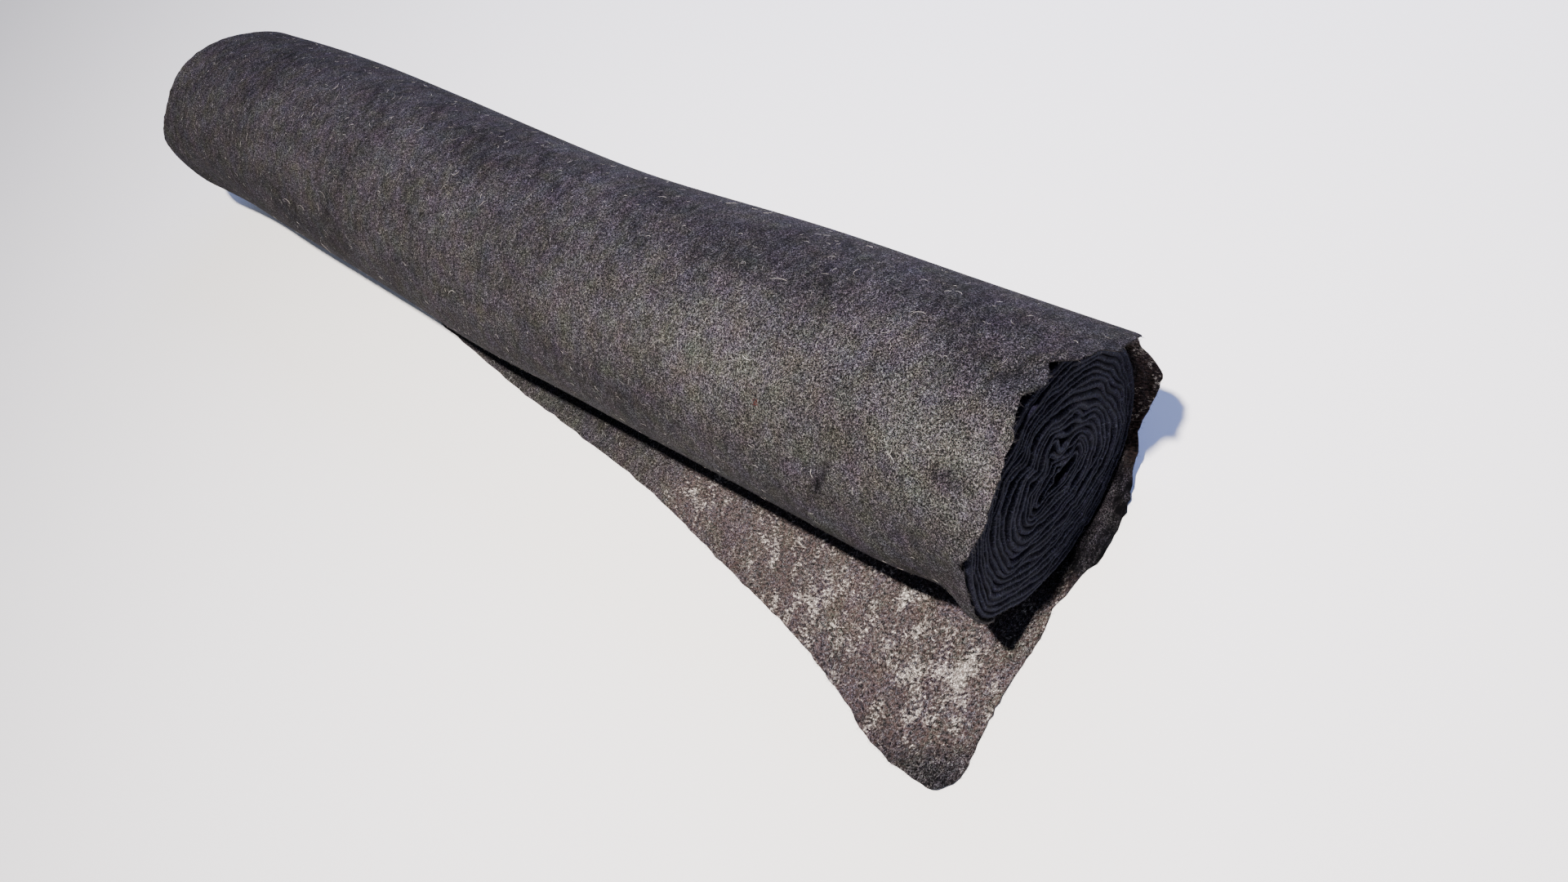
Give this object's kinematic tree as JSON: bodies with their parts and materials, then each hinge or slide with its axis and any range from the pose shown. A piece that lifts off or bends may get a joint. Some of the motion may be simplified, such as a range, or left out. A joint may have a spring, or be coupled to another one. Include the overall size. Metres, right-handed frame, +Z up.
{
  "type": "roll of geotextile",
  "caption": "Coreless roll of dark grey needle-punched geotextile lying on its side, its loose end unrolled as a skewed flap on the floor.",
  "frame": {"origin": "on the floor, under the middle of the whole footprint, roll and flap together", "axes": "+X along the roll towards the end that shows, +Z up, -Y towards the flap of the loose end"},
  "size_m": [2.0674, 0.5834, 0.3537],
  "materials": {
    "wound_geotextile": "matt felted nonwoven of mixed dark grey fibres",
    "loose_geotextile": "matt felted nonwoven of mixed grey fibres, thin in places"
  },
  "bodies": {
    "root": {"wound_roll": "wound_geotextile", "loose_end": "loose_geotextile"}
  },
  "joints": []
}
